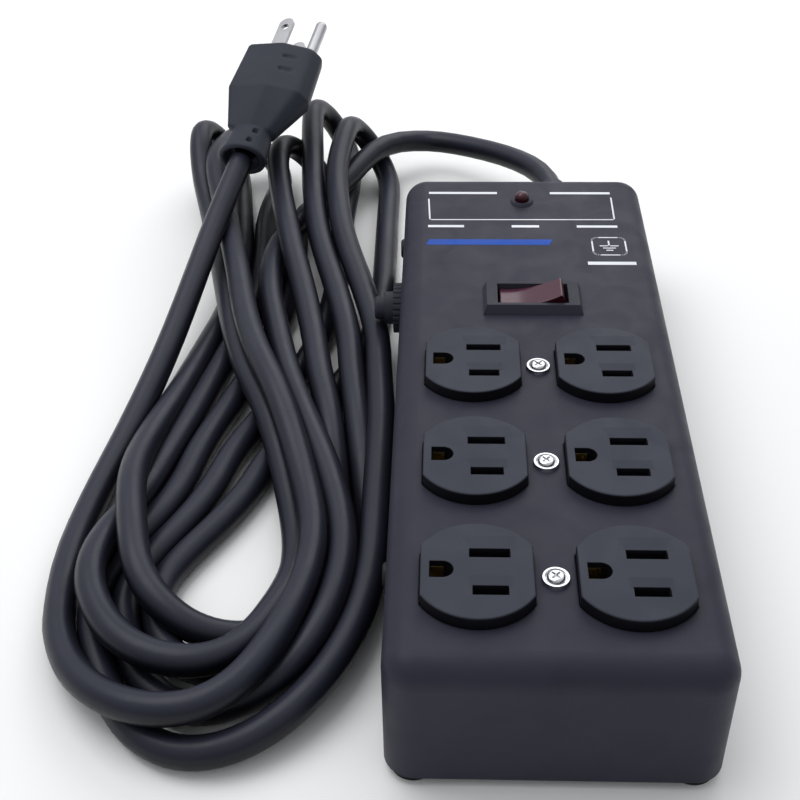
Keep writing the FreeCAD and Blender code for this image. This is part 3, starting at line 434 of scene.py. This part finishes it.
def sky(tree):
    """Soft surroundings, brighter above and behind than in front."""
    place = tree.nodes.new("ShaderNodeTexCoord")
    lean = tree.nodes.new("ShaderNodeVectorMath")
    lean.operation = "DOT_PRODUCT"
    lean.inputs[1].default_value = SKY_LEAN
    tree.links.new(place.outputs["Generated"], lean.inputs[0])
    strength = spread(tree, lean.outputs["Value"], SKY_LOW, SKY_HIGH, *SKY_SPAN)
    backdrop = tree.nodes["Background"]
    backdrop.inputs["Color"].default_value = (*SKY_COLOUR, 1)
    tree.links.new(strength, backdrop.inputs["Strength"])


def floor():
    """Wide pale floor."""
    h = FLOOR_HALF
    mesh = bpy.data.meshes.new("floor")
    mesh.from_pydata([(-h, -h, 0), (h, -h, 0), (h, h, 0), (-h, h, 0)], [], [(0, 1, 2, 3)])
    item = bpy.data.objects.new("floor", mesh)
    bpy.context.scene.collection.objects.link(item)
    paint = bpy.data.materials.new("floor_paint")
    paint.use_nodes = True
    shader = paint.node_tree.nodes["Principled BSDF"]
    shader.inputs["Base Color"].default_value = (FLOOR_SHADE, FLOOR_SHADE, FLOOR_SHADE, 1)
    shader.inputs["Roughness"].default_value = FLOOR_ROUGHNESS
    mesh.materials.append(paint)


def light(name, at, size, watts):
    """Soft square light that points at the object."""
    data = bpy.data.lights.new(name, "AREA")
    data.size = size
    data.energy = watts
    lamp = bpy.data.objects.new(name, data)
    lamp.location = at
    lamp.rotation_mode = "QUATERNION"
    lamp.rotation_quaternion = (Vector(LIGHT_AIM) - Vector(at)).to_track_quat("-Z", "Y")
    bpy.context.scene.collection.objects.link(lamp)


def stage():
    """Pale floor, pale surroundings and soft lights."""
    floor()
    world = bpy.data.worlds.new("studio")
    bpy.context.scene.world = world
    world.use_nodes = True
    sky(world.node_tree)
    for settings in LIGHTS:
        light(*settings)
    bpy.context.scene.view_settings.view_transform = "Standard"


def noise(tree, scale, detail=4.0, stretch=(1, 1, 1), warp=0.0):
    """Noise over the object's own coordinates, in features per metre."""
    nodes = tree.nodes
    place = nodes.new("ShaderNodeTexCoord")
    mapping = nodes.new("ShaderNodeMapping")
    mapping.inputs["Scale"].default_value = stretch
    texture = nodes.new("ShaderNodeTexNoise")
    texture.inputs["Scale"].default_value = scale
    texture.inputs["Detail"].default_value = detail
    texture.inputs["Distortion"].default_value = warp
    tree.links.new(place.outputs["Object"], mapping.inputs["Vector"])
    tree.links.new(mapping.outputs["Vector"], texture.inputs["Vector"])
    return texture.outputs["Fac"]


def spread(tree, source, low, high, start=0.3, end=0.7):
    """A number from low to high as the source goes from start to end."""
    ranged = tree.nodes.new("ShaderNodeMapRange")
    for socket, value in (("From Min", start), ("From Max", end), ("To Min", low), ("To Max", high)):
        ranged.inputs[socket].default_value = value
    tree.links.new(source, ranged.inputs["Value"])
    return ranged.outputs["Result"]


def blend(tree, factor, first, second):
    """Colour between two colours, or between an output and a colour."""
    mixer = tree.nodes.new("ShaderNodeMix")
    mixer.data_type = "RGBA"
    tree.links.new(factor, mixer.inputs["Factor"])
    for socket, value in ((mixer.inputs["A"], first), (mixer.inputs["B"], second)):
        if isinstance(value, tuple):
            socket.default_value = (*value, 1)
        else:
            tree.links.new(value, socket)
    return mixer.outputs["Result"]


def joined(tree, operation, first, second):
    """Result of one operation on two outputs or numbers."""
    maths = tree.nodes.new("ShaderNodeMath")
    maths.operation = operation
    for socket, value in zip(maths.inputs, (first, second)):
        if isinstance(value, (int, float)):
            socket.default_value = value
        else:
            tree.links.new(value, socket)
    return maths.outputs["Value"]


def upward(tree, start, end):
    """1 where the surface faces up, 0 where it is steep."""
    shape = tree.nodes.new("ShaderNodeNewGeometry")
    split = tree.nodes.new("ShaderNodeSeparateXYZ")
    tree.links.new(shape.outputs["Normal"], split.inputs["Vector"])
    return spread(tree, split.outputs["Z"], 0.0, 1.0, start, end)


def tinted(tree, fine, colours, steep, shade_reach):
    """Colour with blotches and grain and, if asked, painted shade on steep sides (painted light where that
    colour is lighter) and painted shade where neighbours are near.
    """
    colour = blend(tree, spread(tree, noise(tree, BLOTCHES, 5.0, warp=0.4), 0.0, 1.0), *colours)
    colour = blend(tree, spread(tree, fine, 0.0, GRAIN_TINT, 0.5, 0.75), colour, colours[1])
    if steep:
        # Painted shade: steep sides take another colour in place of the light and shade they would get
        painted_side_colour, span = steep
        colour = blend(tree, upward(tree, *span), painted_side_colour, colour)
    if shade_reach:
        # Painted shade: ambient occlusion darkens the colour where neighbours are near
        near = tree.nodes.new("ShaderNodeAmbientOcclusion")
        near.samples = 6
        near.inputs["Distance"].default_value = shade_reach * MM
        clear = spread(tree, near.outputs["AO"], PAINTED_SHADE_LEFT, 1.0, *PAINTED_SHADE_SPAN)
        colour = blend(tree, clear, PAINTED_SHADE_COLOUR, colour)
    return colour


def relieved(tree, fine, relief, rounding):
    """Normal with fine relief on softened edges."""
    edge = tree.nodes.new("ShaderNodeBevel")
    edge.samples = 4
    edge.inputs["Radius"].default_value = rounding * MM
    bump = tree.nodes.new("ShaderNodeBump")
    bump.inputs["Strength"].default_value = 1.0
    bump.inputs["Distance"].default_value = relief * MM
    tree.links.new(fine, bump.inputs["Height"])
    tree.links.new(edge.outputs["Normal"], bump.inputs["Normal"])
    return bump.outputs["Normal"]


def surface(name, colours, roughness, grain, relief, rounding, steep, sockets):
    """Material with blotches of two colours, uneven gloss, fine relief and softened edges."""
    made = bpy.data.materials.new(name)
    made.use_nodes = True
    tree = made.node_tree
    shader = tree.nodes["Principled BSDF"]
    fine = noise(tree, grain, 3.0)
    # Base colour carries painted shade on steep sides and, for the lead, painted shade between close
    # strands
    colour = tinted(tree, fine, colours, steep, PAINTED_SHADE_REACH.get(name))
    tree.links.new(colour, shader.inputs["Base Color"])
    grain_share = joined(tree, "MULTIPLY", fine, GRAIN_GLOSS)
    patches = joined(tree, "ADD", noise(tree, PATCHES, 6.0, warp=0.8), grain_share)
    tree.links.new(spread(tree, patches, *roughness, 0.45, 0.9), shader.inputs["Roughness"])
    tree.links.new(relieved(tree, fine, relief, rounding), shader.inputs["Normal"])
    for socket, value in sockets.items():
        shader.inputs[socket].default_value = value
    return made


def all_materials():
    """One material for each slot of the record, and two inks for the print.

    Each has two colours, the range of its roughness, the grain in features per metre, the relief and the
    edge rounding in millimetres, the painted shade of its steep sides with the slopes that it fades over
    (lighter on the switch, so painted light there), and values for the shader's other sockets.
    """
    metal = {"Metallic": 1.0}
    dull = {"Specular IOR Level": 0.16}
    satin = {"Specular IOR Level": 0.24}
    glossy = {"Specular IOR Level": 0.35, "Coat Weight": 0.15, "Coat Roughness": 0.1}
    clear = {"Transmission Weight": 0.92, "IOR": 1.5}
    looks = {
        "painted_steel": (
            ((0.026, 0.026, 0.042), (0.031, 0.031, 0.049)), (0.40, 0.56), 1500, 0.030, 0.6, None, dull,
        ),
        "foot_rubber": (
            ((0.012, 0.012, 0.013), (0.022, 0.022, 0.024)), (0.75, 0.92), 1400, 0.06, 0.5, None, dull,
        ),
        "black_screw": (
            ((0.018, 0.018, 0.020), (0.030, 0.029, 0.030)), (0.30, 0.48), 1800, 0.012, 0.15, None, dull,
        ),
        "nickel": (
            ((0.60, 0.61, 0.63), (0.74, 0.75, 0.77)), (0.12, 0.28), 2400, 0.006, 0.15, None, metal,
        ),
        # Painted shade: near-black steep walls
        "outlet_plastic": (
            ((0.032, 0.037, 0.052), (0.040, 0.045, 0.063)), (0.44, 0.60), 2600, 0.012, 0.35,
            ((0.006, 0.006, 0.009), PAINTED_SIDE_SHADING_SPAN), dull,
        ),
        "inner_plastic": (
            ((0.020, 0.020, 0.022), (0.030, 0.030, 0.033)), (0.50, 0.66), 2200, 0.02, 0.2, None, dull,
        ),
        "contact_brass": (
            ((0.60, 0.44, 0.14), (0.78, 0.60, 0.26)), (0.20, 0.42), 1900, 0.008, 0.1, None, metal,
        ),
        # Painted light: lighter steep sides
        "switch_plastic": (
            ((0.028, 0.029, 0.041), (0.034, 0.035, 0.048)), (0.42, 0.58), 2400, 0.012, 0.3,
            ((0.046, 0.048, 0.066), PAINTED_SIDE_SHADING_SPAN), dull,
        ),
        # Painted shade: darker red steep sides
        "red_lens": (
            ((0.056, 0.016, 0.031), (0.076, 0.021, 0.040)), (0.20, 0.30), 1600, 0.006, 0.3,
            ((0.030, 0.0, 0.003), LENS_PAINTED_SIDE_SHADING_SPAN), glossy,
        ),
        "neon_glass": (
            ((0.95, 0.85, 0.78), (1.0, 0.93, 0.88)), (0.02, 0.08), 900, 0.003, 0.1, None, clear,
        ),
        "board_green": (
            ((0.02, 0.12, 0.045), (0.05, 0.24, 0.09)), (0.22, 0.40), 700, 0.02, 0.1, None, glossy,
        ),
        "varistor_blue": (
            ((0.02, 0.05, 0.26), (0.05, 0.10, 0.40)), (0.18, 0.34), 500, 0.05, 0.3, None, glossy,
        ),
        "capacitor_yellow": (
            ((0.62, 0.42, 0.03), (0.78, 0.56, 0.07)), (0.24, 0.40), 1200, 0.015, 0.3, None, glossy,
        ),
        "ferrite": (
            ((0.05, 0.05, 0.052), (0.11, 0.11, 0.11)), (0.60, 0.82), 1700, 0.05, 0.3, None, dull,
        ),
        "copper": (
            ((0.52, 0.18, 0.06), (0.76, 0.34, 0.14)), (0.18, 0.34), 1500, 0.010, 0.1, None, metal,
        ),
        "wire_black": (
            ((0.012, 0.012, 0.013), (0.026, 0.026, 0.028)), (0.28, 0.44), 1100, 0.02, 0.1, None, dull,
        ),
        "wire_white": (
            ((0.66, 0.66, 0.62), (0.82, 0.82, 0.79)), (0.28, 0.44), 1100, 0.02, 0.1, None, dull,
        ),
        "wire_green": (
            ((0.01, 0.16, 0.04), (0.03, 0.27, 0.08)), (0.28, 0.44), 1100, 0.02, 0.1, None, dull,
        ),
        # Painted shade: darker steep sides, plus painted shade where strands lie close
        "cord_vinyl": (
            ((0.0215, 0.0235, 0.038), (0.027, 0.0295, 0.047)), (0.31, 0.43), 900, 0.03, 0.1,
            ((0.005, 0.005, 0.009), CORD_PAINTED_SIDE_SHADING_SPAN), satin,
        ),
        "plug_vinyl": (
            ((0.027, 0.031, 0.044), (0.033, 0.037, 0.052)), (0.44, 0.58), 1600, 0.03, 0.4, None, dull,
        ),
        "plug_metal": (
            ((0.40, 0.40, 0.42), (0.50, 0.50, 0.52)), (0.26, 0.42), 2200, 0.008, 0.2, None, metal,
        ),
        "white_ink": (
            ((0.72, 0.74, 0.80), (0.84, 0.86, 0.92)), (0.45, 0.62), 2600, 0.010, 0.05, None, dull,
        ),
        "blue_ink": (
            ((0.010, 0.060, 0.34), (0.018, 0.085, 0.44)), (0.45, 0.62), 2600, 0.010, 0.05, None, dull,
        ),
    }
    made = {}
    for name, look in looks.items():
        made[name] = surface(name, *look)
    return made


def dress(materials):
    """Gives every CAD node the material of its slot."""
    for part in frame["record"]["subparts"]:
        node = NODES[part["node"]]
        node.data.materials.clear()
        node.data.materials.append(materials[part["material_slot"]])


def mesh_piece(name, mesh, material, body="case"):
    """A new piece that rides on a body."""
    data = bpy.data.meshes.new(name)
    mesh.to_mesh(data)
    mesh.free()
    piece = bpy.data.objects.new(name, data)
    bpy.context.scene.collection.objects.link(piece)
    data.materials.append(material)
    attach(piece, body)
    return piece


def ink(mesh, corners):
    """Thin slab of ink on the cover, from its corner points in order."""
    low = [mesh.verts.new((x * MM, y * MM, COVER_TOP * MM)) for x, y in corners]
    high = [mesh.verts.new((x * MM, y * MM, (COVER_TOP + INK_T) * MM)) for x, y in corners]
    mesh.faces.new(high)
    for i in range(len(corners)):
        j = (i + 1) % len(corners)
        mesh.faces.new((low[i], low[j], high[j], high[i]))


def ink_bar(mesh, x0, x1, y, height, slant=0.0):
    """Level bar of ink, with its ends leaning by the slant."""
    low, high = y - height / 2, y + height / 2
    ink(mesh, [(x0 - slant, low), (x1 - slant, low), (x1 + slant, high), (x0 + slant, high)])


def ink_line(mesh, start, end):
    """Straight line of ink."""
    along_line = (Vector(end) - Vector(start)).normalized() * INK_LINE / 2
    aside = Vector((-along_line.y, along_line.x))
    a, b = Vector(start) - along_line, Vector(end) + along_line
    ink(mesh, [tuple(a - aside), tuple(b - aside), tuple(b + aside), tuple(a + aside)])


def sign_rim():
    """Corner points of the rounded square round the earth sign."""
    x, y = SIGN_AT
    corner = SIGN_HALF * SIGN_ROUNDING
    straight = SIGN_HALF - corner
    rim = []
    for quarter, (sx, sy) in enumerate(((1, 1), (-1, 1), (-1, -1), (1, -1))):
        for step in range(SIGN_STEPS + 1):
            a = math.radians(90 * (quarter + step / SIGN_STEPS))
            rim.append((x + sx * straight + corner * math.cos(a), y + sy * straight + corner * math.sin(a)))
    return rim


def earth_sign(mesh):
    """Earth sign in a rounded square."""
    x, y = SIGN_AT
    rim = sign_rim()
    for start, end in zip(rim, rim[1:] + rim[:1]):
        ink_line(mesh, start, end)
    ink_line(mesh, (x, y + SIGN_STEM[0]), (x, y + SIGN_STEM[1]))
    for drop, half in SIGN_STROKES:
        ink_line(mesh, (x - half, y + drop), (x + half, y + drop))


def cover_print(materials):
    """Bracket line, plain bars and an earth sign in white, and one plain blue bar."""
    white = bmesh.new()
    for start, end in zip(BRACKET, BRACKET[1:]):
        ink_line(white, start, end)
    for x0, x1, y in WORD_BARS:
        ink_bar(white, x0, x1, y, WORD_H)
    ink_bar(white, *SIGN_BAR)
    earth_sign(white)
    mesh_piece("cover_print_white", white, materials["white_ink"])
    blue = bmesh.new()
    ink_bar(blue, *BLUE_BAR, slant=BLUE_SLANT)
    mesh_piece("cover_print_blue", blue, materials["blue_ink"])


def plug_matrix():
    """Plug placement: local +Z along the blades, +X towards the ground pin."""
    axis = Vector(PLUG_AXIS).normalized()
    level = axis.cross(Vector((0, 0, 1))).normalized()
    roll = math.radians(PLUG_ROLL)
    side = level * math.cos(roll) + level.cross(axis) * math.sin(roll)
    turn = Matrix((side, axis.cross(side), axis)).transposed()
    return Matrix.Translation(Vector(PLUG_BASE) * MM) @ turn.to_4x4() @ Matrix.Scale(MM, 4)


def section_radii():
    """Distance from the plug's axis to its section, all the way round, with softened corners."""
    corners = np.array(PLUG_SECTION)
    radii = []
    for i in range(PLUG_SEGMENTS):
        a = 2 * math.pi * i / PLUG_SEGMENTS
        ray = np.array((math.cos(a), math.sin(a)))
        hits = []
        for p, q in zip(corners, np.roll(corners, -1, axis=0)):
            system = np.array((ray, p - q)).T
            if abs(np.linalg.det(system)) < 1e-9:
                continue
            reach, part = np.linalg.solve(system, p)
            if reach > 0 and -1e-9 <= part <= 1 + 1e-9:
                hits.append(reach)
        radii.append(min(hits))
    radii = np.array(radii)
    for _ in range(3):
        radii = 0.25 * np.roll(radii, 1) + 0.5 * radii + 0.25 * np.roll(radii, -1)
    return radii


def dent(x, y, z, at, size, depth):
    """How deep a soft-edged dent on the upper side is at a point; at and size are across and along."""
    u = max(0.0, 1 - ((x - at[0]) / size[0]) ** 4 - ((z - at[1]) / size[1]) ** 4)
    return depth * min(1.0, u * 2) if y < 0 else 0.0


def plug_ring(mesh, z, radii, shift=0.0):
    """One ring of the plug's skin, with the two marks and the two pin holes pressed in."""
    ring = []
    for i, r in enumerate(radii):
        a = 2 * math.pi * i / PLUG_SEGMENTS
        x, y = r * math.cos(a), r * math.sin(a)
        press = 0.0
        for places, size, depth in (MARKS, PIN_HOLES):
            press += sum(dent(x, y, z, at, size, depth) for at in places)
        ring.append(mesh.verts.new(((r - press) * math.cos(a) + shift, (r - press) * math.sin(a), z)))
    return ring


def ellipse_radii(half):
    """Distance from the axis to an ellipse, all the way round."""
    angles = np.arange(PLUG_SEGMENTS) * 2 * math.pi / PLUG_SEGMENTS
    return 1 / np.sqrt((np.cos(angles) / half[0]) ** 2 + (np.sin(angles) / half[1]) ** 2)


def collar_rings(mesh):
    """Rings of the open collar, from the hole at the bottom of its bore out and over the lip."""
    collar = ellipse_radii(COLLAR_HALF)
    bore = ellipse_radii(COLLAR_BORE)
    cord = CORD_R * CORD_FIT
    rings = [plug_ring(mesh, COLLAR_DEPTH, ellipse_radii((cord, cord)))]
    rings += [plug_ring(mesh, z, bore * scale) for z, scale in BORE_RINGS]
    rings += [plug_ring(mesh, z, collar * scale) for z, scale in LIP_RINGS]
    for z in np.arange(COLLAR_FROM, COLLAR_L - COLLAR_STOP, PLUG_STEP):
        rings.append(plug_ring(mesh, z, collar * mix(1.0, COLLAR_SHRINK, z / COLLAR_L)))
    z, scale = COLLAR_LAST
    rings.append(plug_ring(mesh, z, collar * scale))
    return rings


def body_rings(mesh):
    """Rings of the faceted body, from its waist to its nose."""
    section = section_radii()
    rings = []
    for z in np.arange(COLLAR_L, PLUG_FRONT - BODY_STOP, PLUG_STEP):
        t = min(1.0, (z - COLLAR_L + 1) / (PLUG_WIDE_AT - COLLAR_L + 1))
        narrow = max(0.0, (z - PLUG_WIDE_AT) / (PLUG_FRONT - PLUG_WIDE_AT))
        scale = mix(WAIST, 1.0, t) - NOSE_SHRINK * narrow
        rings.append(plug_ring(mesh, z, section * scale, mix(WAIST_SHIFT, 0.0, t)))
    rings += [plug_ring(mesh, z, section * scale) for z, scale in NOSE_RINGS]
    return rings


def plug_moulding(materials):
    """Faceted plug body with a taper and an open collar, at whose mouth the lead ends."""
    mesh = bmesh.new()
    rings = collar_rings(mesh) + body_rings(mesh)
    for lower, upper in zip(rings, rings[1:]):
        for i in range(PLUG_SEGMENTS):
            j = (i + 1) % PLUG_SEGMENTS
            mesh.faces.new((lower[i], lower[j], upper[j], upper[i])).smooth = True
    mesh.faces.new(rings[-1])
    bmesh.ops.transform(mesh, matrix=plug_matrix(), verts=mesh.verts)
    bmesh.ops.recalc_face_normals(mesh, faces=mesh.faces)
    piece = mesh_piece("plug_moulding", mesh, materials["plug_vinyl"])
    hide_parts("plug_body")
    return piece


camera()
stage()
looks = all_materials()
dress(looks)
cover_print(looks)
moulding = plug_moulding(looks)
cord = lead()
cord.data.materials.append(looks["cord_vinyl"])

bpy.context.view_layer.update()
